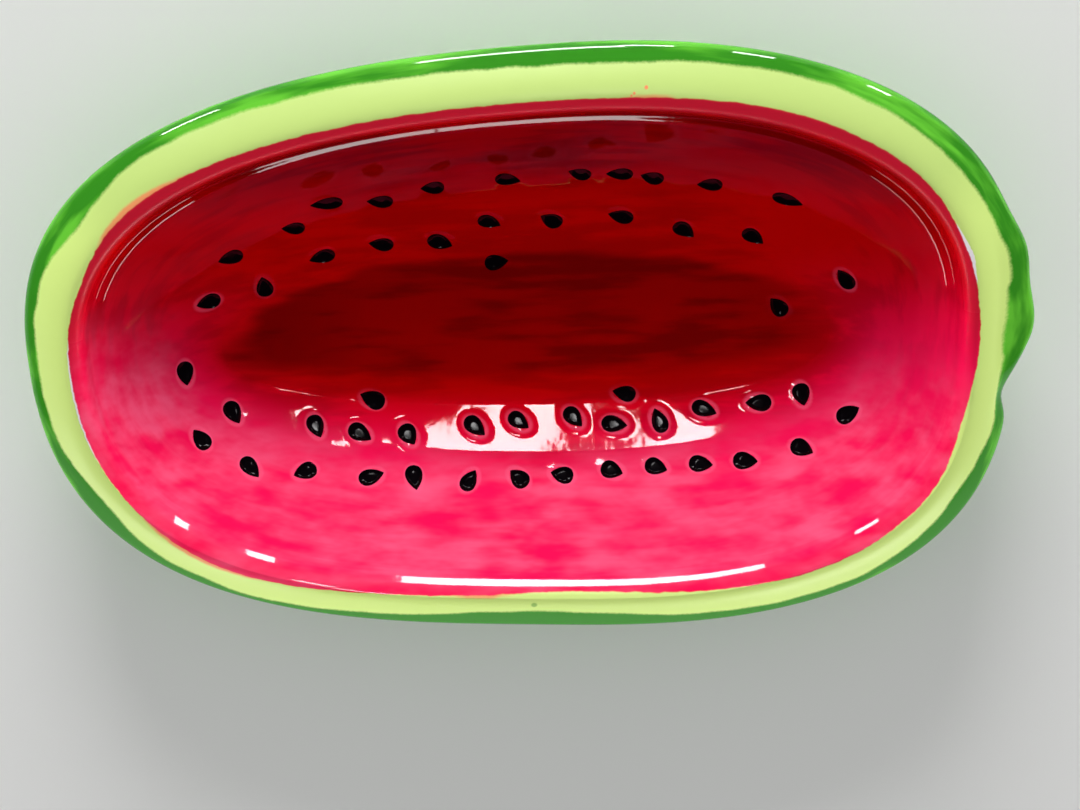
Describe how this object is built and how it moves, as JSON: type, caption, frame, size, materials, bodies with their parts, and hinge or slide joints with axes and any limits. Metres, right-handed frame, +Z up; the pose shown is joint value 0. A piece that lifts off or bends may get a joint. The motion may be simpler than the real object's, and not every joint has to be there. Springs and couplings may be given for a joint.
{
  "type": "ceramic watermelon bowl",
  "caption": "Long oval serving bowl of glazed ceramic, moulded and painted as a halved watermelon, with a rolled green rim, a lime rind band and pressed black seeds in a red hollow.",
  "frame": {"origin": "middle of the outline seen from above, on the table under the foot ring", "axes": "+X along the length towards the stem end, +Y across, +Z up out of the bowl"},
  "size_m": [0.377, 0.232, 0.058],
  "materials": {
    "painted_glaze": "high gloss clear glaze over brushed underglaze colours"
  },
  "bodies": {
    "root": {"bowl": "painted_glaze"}
  },
  "joints": []
}
